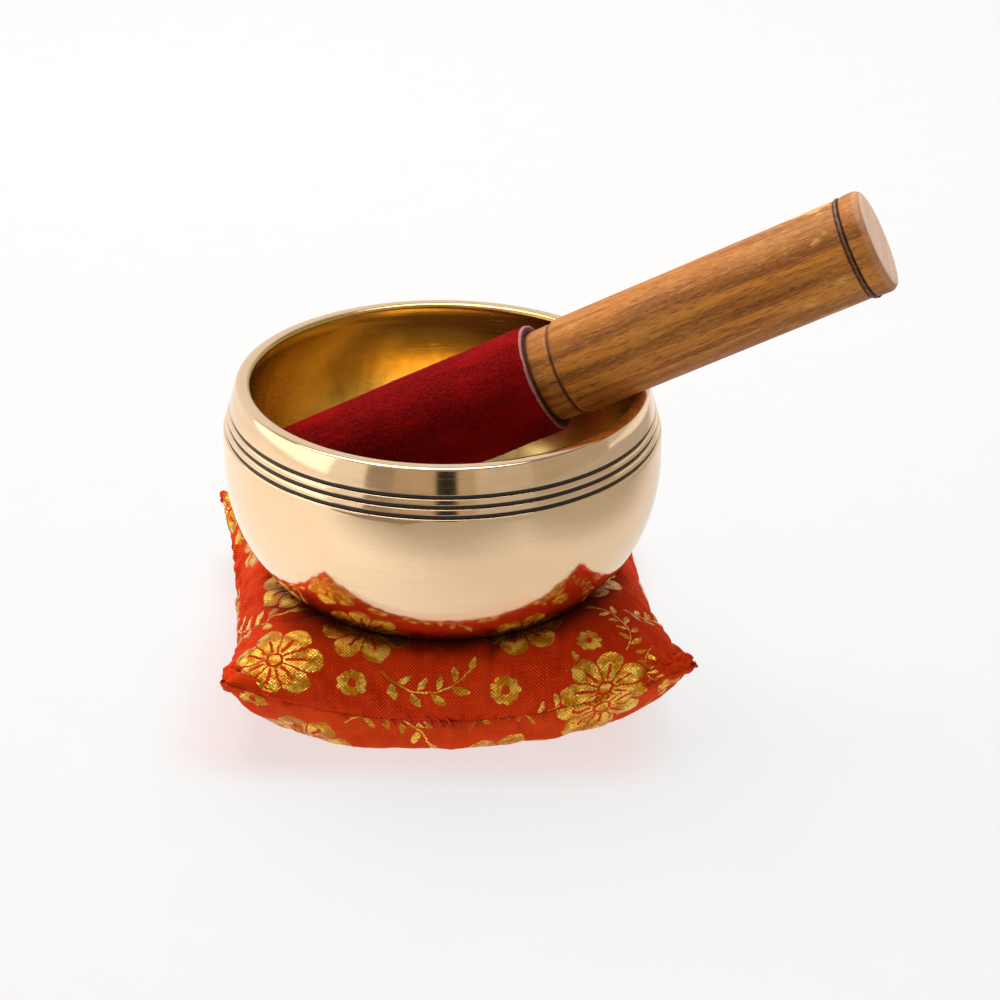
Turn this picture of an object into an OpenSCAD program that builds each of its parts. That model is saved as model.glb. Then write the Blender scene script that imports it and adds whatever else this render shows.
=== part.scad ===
// Singing bowl resting on its square cushion, with a suede-wrapped wooden striker leaning in the bowl.
// Millimetres. +Z is up, z = 0 is the plane the cushion rests on, and the bowl's axis is x = y = 0.

/* [Bowl] */
// Height of the rim above the resting plane
rim_height = 78; // [70:0.5:86]
// Height of the bowl from its flat foot to its rim
bowl_height = 56; // [50:0.5:62]
// Largest outside radius, at the belly
belly_radius = 55.2; // [50:0.1:60]
// Depth of the belly below the rim
belly_depth = 20; // [14:0.5:26]
// Radius of the flat foot
foot_radius = 28; // [20:0.5:36]
// Outside radius of the rim
rim_radius = 52; // [48:0.1:54]
// Thickness of the rim
rim_thickness = 3.9; // [3:0.1:5]
// Thickness of the wall at the belly
wall_thickness = 3.2; // [2:0.1:5]
// Thickness of the bowl's floor
floor_thickness = 4; // [3:0.1:6]
// Radius of the flat part of the inside floor
inner_floor_radius = 26; // [18:0.5:30]
// Height of the conical band below the rim
band_height = 11.8; // [10:0.1:14]

/* [Grooves] */
// Depth of the first groove below the rim
groove_start = 6.1; // [5:0.1:8]
// Distance from one groove to the next
groove_pitch = 2.35; // [2:0.05:3]
// Number of turned grooves
groove_count = 3; // [1:1:4]
// Width of a groove
groove_width = 0.9; // [0.6:0.05:1.4]
// Depth of a groove
groove_depth = 0.6; // [0.4:0.05:1]

/* [Cushion] */
// Height of the seam above the resting plane at the middle of a side
seam_height = 9; // [7:0.5:14]
// How far the middle of the left and right edges is drawn in, as a share of the half width
side_draw_in = 0.08; // [0:0.01:0.12]
// How far the middle of the front edge is drawn in, where a negative share lets it bulge
front_draw_in = -0.05; // [-0.08:0.01:0.12]
// How far the middle of the back edge is drawn in
back_draw_in = 0.06; // [-0.08:0.01:0.12]
// Rise of the unloaded top above the seam
top_crown = 23; // [16:0.5:28]
// Drop of the unloaded underside below the seam
bottom_crown = 23; // [14:0.5:26]
// Thickness of a fabric panel
cloth_thickness = 0.8; // [0.5:0.1:1.2]
// Gap between the bowl and the dish it presses into the cushion
bowl_gap = 0.35; // [0.2:0.05:0.6]
// Thickness of the thread sewn along the edge
seam_thread_diameter = 0.9; // [0.6:0.1:1.2]
// Number of hand stitches that close the edge
stitch_count = 12; // [6:1:18]
// Thickness of the hand stitching thread
stitch_diameter = 0.6; // [0.4:0.1:0.8]
// Length of a hand stitch
stitch_length = 3.2; // [2:0.1:5]

/* [Striker] */
// Radius of the turned wooden handle
handle_radius = 12.3; // [11:0.1:14]
// Outside radius of the suede wrap
suede_radius = 13.8; // [12:0.1:15]
// Thickness of the suede
suede_thickness = 2.2; // [1:0.1:3]
// Length of the suede wrap
suede_length = 80; // [60:1:85]
// Length of bare wood beyond the suede
handle_length = 88.6; // [80:0.1:105]
// Tilt of the resting striker above the horizontal
striker_tilt = 28.5; // [24:0.1:34]
// Bearing of the resting striker about the bowl's axis
striker_bearing = -8.8; // [-20:0.1:0]
// Length of the turned end knob
knob_length = 5.2; // [4:0.1:8]
// Thickness of the cord tied round the end groove
cord_diameter = 1; // [0.8:0.1:2]

/* [Hidden] */
turned_steps = 96;
$fn = turned_steps;

// Bowl profile, with depths measured down from the rim.
belly_drop = bowl_height - belly_depth;
belly_overhang = belly_radius - foot_radius;
inner_drop = bowl_height - floor_thickness - belly_depth;
inner_overhang = belly_radius - wall_thickness - inner_floor_radius;
rim_round = rim_thickness / 2;
upper_stretch = 1.6;
inner_upper_drop = 35;
arc_steps = 14;

function outer_radius(depth) =
    depth < band_height
        ? rim_radius + (band_radius - rim_radius) * (depth - rim_round) / (band_height - rim_round)
        : belly_arc(depth);
function belly_arc(depth) =
    let (drop = depth < belly_depth ? belly_drop * upper_stretch : belly_drop,
         share = (depth - belly_depth) / drop)
    foot_radius + belly_overhang * sqrt(max(0, 1 - share * share));
band_radius = belly_arc(band_height);

function inner_radius(depth) =
    let (drop = depth < belly_depth ? inner_upper_drop : inner_drop,
         share = (depth - belly_depth) / drop)
    inner_floor_radius + inner_overhang * sqrt(max(0, 1 - share * share));

outer_wall = concat(
    [[outer_radius(rim_round), -rim_round], [band_radius, -band_height]],
    [for (i = [1:4]) let (d = band_height + (belly_depth - band_height) * i / 4) [belly_arc(d), -d]],
    [for (i = [1:arc_steps]) let (a = 90 * i / arc_steps)
        [foot_radius + belly_overhang * cos(a), -belly_depth - belly_drop * sin(a)]]);
inner_wall = concat(
    [for (i = [arc_steps:-1:1]) let (a = 90 * i / arc_steps)
        [inner_floor_radius + inner_overhang * cos(a), -belly_depth - inner_drop * sin(a)]],
    [for (i = [0:5]) let (d = belly_depth + (rim_round - belly_depth) * i / 6) [inner_radius(d), -d]]);
rim_crown = [for (a = [180:-22.5:0])
    [rim_radius - rim_round + rim_round * cos(a), -rim_round + rim_round * sin(a)]];

// Striker frame: its local z axis runs from the suede tip to the knob, and local z = 0 is where the
// resting striker's axis crosses the plane x = 0.
striker_origin = [0, 1.7, rim_height - 12.5];
suede_edge_z = 29.6;
tip_z = suede_edge_z - suede_length;
knob_end_z = suede_edge_z + handle_length;
knob_start_z = knob_end_z - knob_length;
core_radius = suede_radius - suede_thickness;
collar_radius = handle_radius - 0.7;
collar_end_z = suede_edge_z + 4.4;
v_groove_z = suede_edge_z + 6.1;
cord_groove_depth = 0.5;
knob_radius = handle_radius + 0.3;
cord_z = knob_start_z - 0.75;

// Cushion surface: u and v run from -1 to 1 across the cushion, front-left to back-right.
front_left = [-51.5, -53.5, 21];
front_right = [63.5, -41.5, 21];
back_right = [51, 65, 17];
back_left = [-64, 53.5, 17];
grid = 26;

function end_draw_in(v) = (front_draw_in * (1 - v) + back_draw_in * (1 + v)) / 2;
function across(u, v) = u * (1 - side_draw_in * (1 - v * v));
function back(u, v) = v * (1 - end_draw_in(v) * (1 - u * u));
function spread(u, v) =
    let (a = (1 + u) / 2, b = (1 + v) / 2)
    (front_left * (1 - a) + front_right * a) * (1 - b) + (back_left * (1 - a) + back_right * a) * b;
function seam_point(u, v) =
    let (p = spread(across(u, v), back(u, v)), tip = spread(u, v)[2])
    [p[0], p[1], seam_height + (tip - seam_height) * u * u * v * v];
function fullness(u, v) = pow(max(0, (1 - u * u) * (1 - v * v)), 0.5);
function bowl_underside(r) = rim_height - belly_depth
    - (r < foot_radius ? belly_drop
       : r < belly_radius ? belly_drop * sqrt(1 - pow((r - foot_radius) / belly_overhang, 2)) : -100);
function top_point(u, v) =
    let (p = seam_point(u, v), crown = p[2] + cloth_thickness + top_crown * fullness(u, v),
         dish = bowl_underside(norm([p[0], p[1]])) - bowl_gap)
    [p[0], p[1], max(p[2] + cloth_thickness, min(crown, dish))];
function bottom_point(u, v) =
    let (p = seam_point(u, v))
    [p[0], p[1], max(0, p[2] - cloth_thickness - bottom_crown * fullness(u, v))];
function lifted(p, dz) = [p[0], p[1], p[2] + dz];

// A closed shell between an upper and a lower grid of points.
module slab(upper, lower, n) {
    row = n + 1;
    count = row * row;
    rim = concat([for (i = [0:n - 1]) i], [for (j = [0:n - 1]) n + j * row],
                 [for (i = [n:-1:1]) i + n * row], [for (j = [n:-1:1]) j * row]);
    polyhedron(
        points = concat(upper, lower),
        faces = concat(
            [for (j = [0:n - 1]) for (i = [0:n - 1]) let (a = i + j * row) each
                [[a, a + row, a + 1], [a + 1, a + row, a + row + 1]]],
            [for (j = [0:n - 1]) for (i = [0:n - 1]) let (a = count + i + j * row) each
                [[a, a + 1, a + row], [a + 1, a + row + 1, a + row]]],
            [for (k = [0:len(rim) - 1]) let (a = rim[k], b = rim[(k + 1) % len(rim)]) each
                [[a, b, a + count], [b, b + count, a + count]]]),
        convexity = 6);
}

module grooves(width, depth, inset) {
    for (i = [0:groove_count - 1])
        let (d = groove_start + i * groove_pitch, r = outer_radius(d))
        translate([0, 0, rim_height - d])
            rotate_extrude()
                polygon([[r - depth, -width / 2], [r - inset, -width / 2],
                         [r - inset, width / 2], [r - depth, width / 2]]);
}

module bowl() {
    color([0.86, 0.66, 0.32])
    difference() {
        translate([0, 0, rim_height])
            rotate_extrude()
                polygon(concat([[0, -bowl_height]], [[0, floor_thickness - bowl_height]],
                               inner_wall, rim_crown, outer_wall));
        grooves(groove_width, groove_depth, -1);
    }
}

module groove_lacquer() {
    color([0.09, 0.06, 0.04])
        grooves(groove_width - 0.04, groove_depth - 0.02, 0.25);
}

module cushion_top_panel() {
    color([0.80, 0.16, 0.06])
        slab([for (j = [0:grid]) for (i = [0:grid]) top_point(2 * i / grid - 1, 2 * j / grid - 1)],
             [for (j = [0:grid]) for (i = [0:grid])
                 lifted(top_point(2 * i / grid - 1, 2 * j / grid - 1), -cloth_thickness)],
             grid);
}

module cushion_bottom_panel() {
    color([0.72, 0.12, 0.05])
        slab([for (j = [0:grid]) for (i = [0:grid])
                 lifted(bottom_point(2 * i / grid - 1, 2 * j / grid - 1), cloth_thickness)],
             [for (j = [0:grid]) for (i = [0:grid]) bottom_point(2 * i / grid - 1, 2 * j / grid - 1)],
             grid);
}

module cushion_filling() {
    slack = cloth_thickness + 0.1;
    color([0.93, 0.90, 0.84])
        slab([for (j = [1:grid - 1]) for (i = [1:grid - 1])
                 lifted(top_point(2 * i / grid - 1, 2 * j / grid - 1), -slack)],
             [for (j = [1:grid - 1]) for (i = [1:grid - 1])
                 lifted(bottom_point(2 * i / grid - 1, 2 * j / grid - 1), slack)],
             grid - 2);
}

// Point at share t of the way round the cushion's edge, pushed outward from the middle.
function edge_point(t, out) =
    let (side = floor(t * 4) % 4, s = 2 * (t * 4 - floor(t * 4)) - 1,
         p = side == 0 ? seam_point(s, -1) : side == 1 ? seam_point(1, s)
           : side == 2 ? seam_point(-s, 1) : seam_point(-1, -s),
         r = norm([p[0], p[1]]))
    [p[0] * (1 + out / r), p[1] * (1 + out / r), p[2]];

module cushion_edge_thread() {
    steps = 96;
    sides = 6;
    radius = seam_thread_diameter / 2;
    ring = [for (k = [0:steps - 1])
        let (p = edge_point(k / steps, radius + 0.15), r = norm([p[0], p[1]]))
        for (m = [0:sides - 1]) let (a = 360 * m / sides)
        [p[0] * (1 + radius * cos(a) / r), p[1] * (1 + radius * cos(a) / r), p[2] + radius * sin(a)]];
    color([0.62, 0.08, 0.04])
    polyhedron(
        points = ring,
        faces = [for (k = [0:steps - 1]) for (m = [0:sides - 1])
            let (a = k * sides + m, b = k * sides + (m + 1) % sides,
                 c = ((k + 1) % steps) * sides + m, d = ((k + 1) % steps) * sides + (m + 1) % sides)
            each [[a, b, c], [b, d, c]]],
        convexity = 6);
}

module cushion_closing_stitches() {
    sewn_from = 0.44;
    sewn_span = 0.27;
    stitch_slant = [8, 24, 0];
    color([0.45, 0.06, 0.04])
    for (i = [0:stitch_count - 1])
        let (t = (sewn_from + sewn_span * i / (stitch_count - 1)) / 4,
             p = edge_point(t, seam_thread_diameter + stitch_diameter / 2 + 0.25))
        translate(p)
            rotate(stitch_slant)
                cylinder(h = stitch_length, d = stitch_diameter, center = true, $fn = 16);
}

module in_striker_frame() {
    translate(striker_origin)
        rotate([0, 90 - striker_tilt, striker_bearing])
            children();
}

module striker_handle() {
    color([0.55, 0.34, 0.16])
    in_striker_frame()
        rotate_extrude()
            polygon([
                [0, tip_z + 0.6], [core_radius - 2, tip_z + 0.6], [core_radius - 0.6, tip_z + 1.2],
                [core_radius - 0.05, tip_z + 2.6], [core_radius - 0.05, suede_edge_z - 0.1],
                [collar_radius, suede_edge_z + 0.2], [collar_radius, collar_end_z],
                [handle_radius - 0.2, collar_end_z + 0.8], [handle_radius - 0.2, v_groove_z - 0.5],
                [handle_radius - 1.1, v_groove_z], [handle_radius, v_groove_z + 0.7],
                [handle_radius, cord_z - 0.7], [handle_radius - cord_groove_depth, cord_z - 0.6],
                [handle_radius - cord_groove_depth, cord_z + 0.6], [handle_radius, cord_z + 0.75],
                [knob_radius, knob_start_z + 1.2], [knob_radius, knob_end_z - 1.8],
                [knob_radius - 0.4, knob_end_z - 0.5], [knob_radius - 1.2, knob_end_z],
                [0, knob_end_z]]);
}

module striker_suede_wrap() {
    color([0.55, 0.05, 0.09])
    in_striker_frame()
        rotate_extrude()
            polygon([
                [core_radius, tip_z + 0.4], [core_radius + 0.5, tip_z],
                [suede_radius - 0.3, tip_z + 0.6], [suede_radius, tip_z + 2],
                [suede_radius, suede_edge_z - 0.4], [suede_radius - 0.3, suede_edge_z],
                [core_radius, suede_edge_z]]);
}

module striker_end_cord() {
    color([0.12, 0.07, 0.04])
    in_striker_frame()
        translate([0, 0, cord_z])
            rotate_extrude()
                translate([handle_radius - cord_groove_depth + 0.02 + cord_diameter / 2, 0])
                    circle(d = cord_diameter, $fn = 16);
}

bowl();
groove_lacquer();
cushion_top_panel();
cushion_bottom_panel();
cushion_filling();
cushion_edge_thread();
cushion_closing_stitches();
striker_handle();
striker_suede_wrap();
striker_end_cord();
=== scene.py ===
import math

import bpy
import numpy as np
from mathutils import Matrix, Vector, noise


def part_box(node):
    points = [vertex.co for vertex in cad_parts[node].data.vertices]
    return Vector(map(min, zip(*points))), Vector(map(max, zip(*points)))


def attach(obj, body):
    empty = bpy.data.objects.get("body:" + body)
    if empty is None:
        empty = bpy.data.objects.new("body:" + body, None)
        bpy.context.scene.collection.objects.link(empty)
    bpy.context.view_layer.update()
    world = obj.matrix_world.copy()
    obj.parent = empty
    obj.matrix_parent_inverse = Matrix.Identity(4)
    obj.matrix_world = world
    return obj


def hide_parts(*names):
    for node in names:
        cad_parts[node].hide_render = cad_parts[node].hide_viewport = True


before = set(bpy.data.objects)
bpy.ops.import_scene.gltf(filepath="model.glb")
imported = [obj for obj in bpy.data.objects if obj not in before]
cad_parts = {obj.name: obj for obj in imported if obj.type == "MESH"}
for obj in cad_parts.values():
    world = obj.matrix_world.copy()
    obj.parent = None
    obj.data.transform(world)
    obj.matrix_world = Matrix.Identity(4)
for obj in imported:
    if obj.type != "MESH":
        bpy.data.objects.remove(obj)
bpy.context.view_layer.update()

MM = 0.001
bowl_low, bowl_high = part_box("bowl")

# ---------------------------------------------------------------- driving dimensions

# Bowl, with depths measured down from the rim.
RIM_Z = bowl_high.z / MM
BOWL_HEIGHT = (bowl_high.z - bowl_low.z) / MM
BELLY_RADIUS = 55.2
BELLY_DEPTH = 20.0
SHOULDER_DROP = 57.6
INNER_SHOULDER_DROP = 35.0
BELLY_STEPS = 44
FOOT_RADIUS = 28.0
RIM_RADIUS = 52.0
RIM_THICKNESS = 4.2
WALL = 3.2
FLOOR = 4.0
INNER_FLOOR_RADIUS = 26.0
BAND_HEIGHT = 11.8
GROOVE_DEPTHS = [6.5 + 2.25 * i for i in range(3)]
GROOVE_WIDTH = 0.9
GROOVE_DEPTH = 0.6
TURNED_STEPS = 320

# Cushion: corner tips, and how its sides and crowns are shaped before the simulation.
FRONT_LEFT = np.array([-51.5, -53.5, 21.0])
FRONT_RIGHT = np.array([63.5, -41.5, 21.0])
BACK_RIGHT = np.array([51.0, 65.0, 17.0])
BACK_LEFT = np.array([-64.0, 53.5, 17.0])
SEAM_HEIGHT = 9.0
SIDE_DRAW_IN = 0.08
FRONT_DRAW_IN = -0.05
BACK_DRAW_IN = 0.06
TOP_CROWN = 23.0
BOTTOM_CROWN = 23.0
HALF_SIDE = 56
PANEL_SIDE = 128.0
CLOTH = 0.5
BOWL_GAP = 0.35
SIM_CELLS = 56
SIM_SCALE = 10.0
SIM_FRAMES = 22
SIM_LIMIT = 5.0
FINE = 3

# Striker, in its own frame: z runs along it from the suede tip to the knob.
STRIKER_TILT = 28.5
STRIKER_BEARING = -8.8
STRIKER_ORIGIN = (0.0, 1.7, RIM_Z - 12.5)
HANDLE_RADIUS = 12.3
SUEDE_RADIUS = 13.8
SUEDE_THICKNESS = 2.2
SUEDE_EDGE = 29.6
SUEDE_LENGTH = 80.0
HANDLE_LENGTH = 88.6
KNOB_LENGTH = 5.2
COLLAR_END = SUEDE_EDGE + 4.4
V_GROOVE = SUEDE_EDGE + 6.1
TIP = SUEDE_EDGE - SUEDE_LENGTH
KNOB_END = SUEDE_EDGE + HANDLE_LENGTH
KNOB_START = KNOB_END - KNOB_LENGTH
CORE_RADIUS = SUEDE_RADIUS - SUEDE_THICKNESS
CORD_Z = KNOB_START - 0.75
CORD_DIAMETER = 1.0
CORD_GROOVE = 0.5
KNOB_RADIUS = HANDLE_RADIUS + 0.3

striker_place = (Matrix.Translation(Vector(STRIKER_ORIGIN))
                 @ Matrix.Rotation(math.radians(STRIKER_BEARING), 4, "Z")
                 @ Matrix.Rotation(math.radians(90 - STRIKER_TILT), 4, "Y"))

# Camera and floor.
CAMERA_PLACE = (14.7, -507.0, 305.2)
CAMERA_TILT = 62.73
CAMERA_ROLL = 0.98
CAMERA_LENS = 80.1
FLOOR_HALF = 12000.0

# ---------------------------------------------------------------- node helpers


class Graph:
    """Short ways to add shader nodes to one new material, or to the world."""

    def __init__(self, name, world=None):
        self.material = world or bpy.data.materials.new(name)
        self.material.use_nodes = True
        self.tree = self.material.node_tree
        self.tree.nodes.clear()
        self.shader = self.add("ShaderNodeBackground" if world else "ShaderNodeBsdfPrincipled")
        out = self.add("ShaderNodeOutputWorld" if world else "ShaderNodeOutputMaterial")
        self.link(self.shader.outputs[0], out.inputs["Surface"])

    def add(self, kind, **settings):
        made = self.tree.nodes.new(kind)
        for key, value in settings.items():
            setattr(made, key, value)
        return made

    def link(self, a, b):
        self.tree.links.new(a, b)

    def put(self, value, socket):
        if isinstance(value, bpy.types.NodeSocket):
            self.link(value, socket)
        else:
            socket.default_value = value

    def calc(self, operation, *values):
        made = self.add("ShaderNodeMath", operation=operation)
        for value, socket in zip(values, made.inputs):
            self.put(value, socket)
        return made.outputs[0]

    def total(self, first, *rest):
        for value in rest:
            first = self.calc("ADD", first, value)
        return first

    def times(self, first, *rest):
        for value in rest:
            first = self.calc("MULTIPLY", first, value)
        return first

    def length(self, x, y):
        return self.calc("SQRT", self.total(self.times(x, x), self.times(y, y)))

    def less(self, a, b):
        return self.calc("LESS_THAN", a, b)

    def soft(self, value, low, high, out_low=0.0, out_high=1.0):
        made = self.add("ShaderNodeMapRange", interpolation_type="SMOOTHSTEP")
        for given, socket in zip((value, low, high, out_low, out_high), made.inputs):
            self.put(given, socket)
        return made.outputs[0]

    def mix(self, factor, a, b):
        made = self.add("ShaderNodeMix", data_type="RGBA")
        for value, socket in zip((factor, a, b), (made.inputs[0], made.inputs[6], made.inputs[7])):
            self.put(value, socket)
        return made.outputs[2]

    def mix_value(self, factor, a, b):
        made = self.add("ShaderNodeMix", data_type="FLOAT")
        for value, socket in zip((factor, a, b), (made.inputs[0], made.inputs[2], made.inputs[3])):
            self.put(value, socket)
        return made.outputs[0]

    def attribute(self, name):
        made = self.add("ShaderNodeAttribute", attribute_name=name, attribute_type="GEOMETRY")
        return made.outputs["Vector"]

    def split(self, vector):
        made = self.add("ShaderNodeSeparateXYZ")
        self.link(vector, made.inputs[0])
        return made.outputs

    def join(self, x, y, z):
        made = self.add("ShaderNodeCombineXYZ")
        for value, socket in zip((x, y, z), made.inputs):
            self.put(value, socket)
        return made.outputs[0]

    def stretch(self, vector, scale):
        made = self.add("ShaderNodeVectorMath", operation="MULTIPLY")
        self.link(vector, made.inputs[0])
        made.inputs[1].default_value = scale
        return made.outputs[0]

    def noise(self, vector, scale, detail=3.0, roughness=0.55, distortion=0.0):
        made = self.add("ShaderNodeTexNoise")
        self.link(vector, made.inputs["Vector"])
        for key, value in (("Scale", scale), ("Detail", detail), ("Roughness", roughness),
                           ("Distortion", distortion)):
            made.inputs[key].default_value = value
        return made.outputs["Fac"]

    def openness(self, distance):
        """1 on an open surface, less where other surfaces come within that distance in metres."""
        made = self.add("ShaderNodeAmbientOcclusion", samples=8)
        made.inputs["Distance"].default_value = distance
        return made.outputs["AO"]

    def bump(self, height, strength, distance):
        made = self.add("ShaderNodeBump")
        made.inputs["Strength"].default_value = strength
        made.inputs["Distance"].default_value = distance
        self.link(height, made.inputs["Height"])
        return made.outputs[0]

    def surface(self, **sockets):
        for name, value in sockets.items():
            self.put(value, self.shader.inputs[name.replace("_", " ")])
        return self.material


def rgb(r, g, b):
    return (r, g, b, 1.0)


# ---------------------------------------------------------------- mesh helpers


def mesh_piece(name, points, faces, material, sharp_degrees=35):
    """A smooth-shaded object from points in millimetres."""
    mesh = bpy.data.meshes.new(name)
    mesh.from_pydata((np.asarray(points, float) * MM).tolist(), [], faces)
    mesh.validate()
    mesh.update()
    mesh.shade_smooth()
    mesh.set_sharp_from_angle(angle=math.radians(sharp_degrees))
    mesh.materials.append(material)
    piece = bpy.data.objects.new(name, mesh)
    bpy.context.scene.collection.objects.link(piece)
    return piece


def settle(piece, body, slot, *nodes):
    """The piece rides on its body and stands for its CAD node."""
    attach(piece, body)
    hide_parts(*nodes)
    return piece


def store(piece, name, values, domain="POINT"):
    """Keeps a vector for each vertex or face corner, for the piece's materials."""
    kept = piece.data.attributes.new(name, "FLOAT_VECTOR", domain)
    kept.data.foreach_set("vector", np.asarray(values, np.float32).ravel())


def store_local(piece, points):
    """Keeps each vertex's place in the piece's own frame, in millimetres."""
    store(piece, "local_mm", points)


def stored_local(piece):
    """The places that store_local kept, one row for each vertex."""
    local = np.empty(len(piece.data.vertices) * 3, np.float32)
    piece.data.attributes["local_mm"].data.foreach_get("vector", local)
    return local.reshape(-1, 3)


def in_striker(points):
    """Points of the striker's own frame, moved to where it leans in the bowl."""
    turn = np.array(striker_place)
    return points @ turn[:3, :3].T + turn[:3, 3]


def lathe(name, loops, material, place=None, steps=TURNED_STEPS, change=None, sharp_degrees=35):
    """Turns closed (r, z) loops, or open ones that start and end on the axis, into one mesh."""
    points = []
    faces = []
    angles = [2 * math.pi * j / steps for j in range(steps)]
    for loop in loops:
        rows = []
        for r, z in loop:
            if r < 1e-6:
                rows.append([len(points)] * steps)
                points.append((0.0, 0.0, z))
            else:
                rows.append(list(range(len(points), len(points) + steps)))
                points.extend((r * math.cos(a), r * math.sin(a), z) for a in angles)
        closed = loop[0][0] > 1e-6
        pairs = list(zip(rows, rows[1:])) + ([(rows[-1], rows[0])] if closed else [])
        for low, high in pairs:
            for j in range(steps):
                k = (j + 1) % steps
                corners = [low[j], low[k], high[k], high[j]]
                faces.append([c for i, c in enumerate(corners) if c != corners[i - 1]])
    local = np.array(points)
    if change is not None:
        local = change(local)
    placed = local if place is None else place(local)
    piece = mesh_piece(name, placed, faces, material, sharp_degrees)
    store_local(piece, local)
    return piece


def rounded(outline, radius, steps=5, closed=False):
    """The outline with each inner corner cut by an arc-like curve of about that radius."""
    made = []
    count = len(outline)
    for i, here in enumerate(outline):
        here = np.array(here, float)
        if not closed and i in (0, count - 1):
            made.append(tuple(here))
            continue
        before = np.array(outline[i - 1], float)
        after = np.array(outline[(i + 1) % count], float)
        back, ahead = before - here, after - here
        reach = min(radius, 0.45 * np.linalg.norm(back), 0.45 * np.linalg.norm(ahead))
        start = here + back / np.linalg.norm(back) * reach
        stop = here + ahead / np.linalg.norm(ahead) * reach
        for s in np.linspace(0, 1, steps):
            made.append(tuple((1 - s) ** 2 * start + 2 * s * (1 - s) * here + s * s * stop))
    return made


def spaced(outline, longest):
    """The outline with points added so that no stretch is longer than that."""
    made = []
    for a, b in zip(outline, outline[1:]):
        a, b = np.array(a, float), np.array(b, float)
        parts = max(1, math.ceil(np.linalg.norm(b - a) / longest))
        made.extend(tuple(a + (b - a) * i / parts) for i in range(parts))
    return made + [tuple(outline[-1])]


def tube(path, radius, sides=8, twist=0.0, strands=0, closed=False):
    """Points and faces of a round tube along a path, with optional twisted strands."""
    path = np.asarray(path, float)
    count = len(path)
    ahead = (np.roll(path, -1, 0) - np.roll(path, 1, 0)) if closed else np.gradient(path, axis=0)
    ahead /= np.linalg.norm(ahead, axis=1)[:, None]
    side = np.cross(ahead[0], (0.0, 0.0, 1.0) if abs(ahead[0][2]) < 0.9 else (1.0, 0.0, 0.0))
    points, faces = [], []
    for k in range(count):
        side = side - ahead[k] * (side @ ahead[k])
        side /= np.linalg.norm(side)
        up = np.cross(ahead[k], side)
        end_share = min(k, count - 1 - k)
        slim = 1.0 if closed or end_share > 1 else (0.45, 0.85)[end_share]
        for m in range(sides):
            a = 2 * math.pi * m / sides
            swell = 1 + (0.16 * math.cos(strands * a + twist * k) if strands else 0.0)
            points.append(path[k] + radius * slim * swell * (math.cos(a) * side + math.sin(a) * up))
    for k in range(count if closed else count - 1):
        for m in range(sides):
            n, q = (m + 1) % sides, (k + 1) % count
            faces.append([k * sides + m, k * sides + n, q * sides + n, q * sides + m])
    if not closed:
        faces.append(list(range(sides))[::-1])
        faces.append([(count - 1) * sides + m for m in range(sides)])
    return points, faces


def gather(parts):
    """Joins several (points, faces) into one."""
    points, faces = [], []
    for some, these in parts:
        faces.extend([i + len(points) for i in face] for face in these)
        points.extend(some)
    return points, faces


# ---------------------------------------------------------------- materials


def brass_material():
    """Polished outside with turning marks, and a browner inside with wiped streaks."""
    g = Graph("polished_brass")
    local = g.attribute("local_mm")
    x, y, z = g.split(local)
    radius = g.length(x, y)
    rings = g.join(radius, z, 0.0)
    fine = g.noise(rings, 3.2, 4.0, 0.7)
    broad = g.noise(rings, 0.45, 2.0)
    cloudy = g.noise(local, 0.05, 4.0, 0.6)
    inside = g.split(g.attribute("inside"))[0]
    around = g.join(g.calc("DIVIDE", x, radius), g.calc("DIVIDE", y, radius), g.times(z, 0.012))
    wiped = g.times(inside, g.soft(g.noise(around, 3.4, 4.0, 0.6, 0.4), 0.46, 0.66))
    across = g.join(g.calc("DIVIDE", x, radius), g.calc("DIVIDE", y, radius), g.times(z, 0.55))
    brushed = g.noise(across, 3.6, 4.0, 0.7)
    tone = g.mix(g.soft(cloudy, 0.35, 0.7), rgb(0.93, 0.66, 0.42), rgb(0.90, 0.625, 0.38))
    tone = g.mix(g.soft(brushed, 0.50, 0.72, 0.0, 0.30), tone, rgb(0.80, 0.55, 0.31))
    # Painted shade: the outside is darkened towards the foot, where the bowl sits down in the cushion.
    painted_shade_near_foot = g.times(g.soft(z, 34.5, 26.5, 0.0, 0.92), g.total(1.0, g.times(inside, -1.0)))
    tone = g.mix(painted_shade_near_foot, tone, rgb(0.46, 0.28, 0.13))
    # The inside is browner than the outside. It also goes darker towards the rim, and that darkening is
    # painted shade.
    inside_tone_with_painted_shade = g.mix(g.soft(z, 46.0, 70.0), rgb(0.84, 0.60, 0.19), rgb(0.60, 0.405, 0.10))
    tone = g.mix(g.times(inside, 0.85), tone, inside_tone_with_painted_shade)
    tone = g.mix(g.times(wiped, 0.55), tone, rgb(0.44, 0.300, 0.055))
    rough = g.total(g.times(fine, 0.06), g.times(cloudy, 0.07), g.times(inside, 0.13),
                    g.soft(brushed, 0.45, 0.75, 0.0, 0.07), 0.02)
    height = g.total(fine, g.times(broad, 1.6))
    return g.surface(Base_Color=tone, Metallic=1.0, Roughness=rough,
                     Normal=g.bump(height, 0.22, 0.00002))


def lacquer_material():
    """Black fill of the grooves, worn brown in places."""
    g = Graph("black_lacquer")
    local = g.attribute("local_mm")
    worn = g.noise(local, 0.9, 4.0, 0.7)
    tone = g.mix(g.soft(worn, 0.5, 0.8), rgb(0.012, 0.008, 0.006), rgb(0.06, 0.035, 0.015))
    return g.surface(Base_Color=tone, Roughness=g.soft(worn, 0.2, 0.8, 0.35, 0.6),
                     Normal=g.bump(worn, 0.3, 0.0001))


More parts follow.
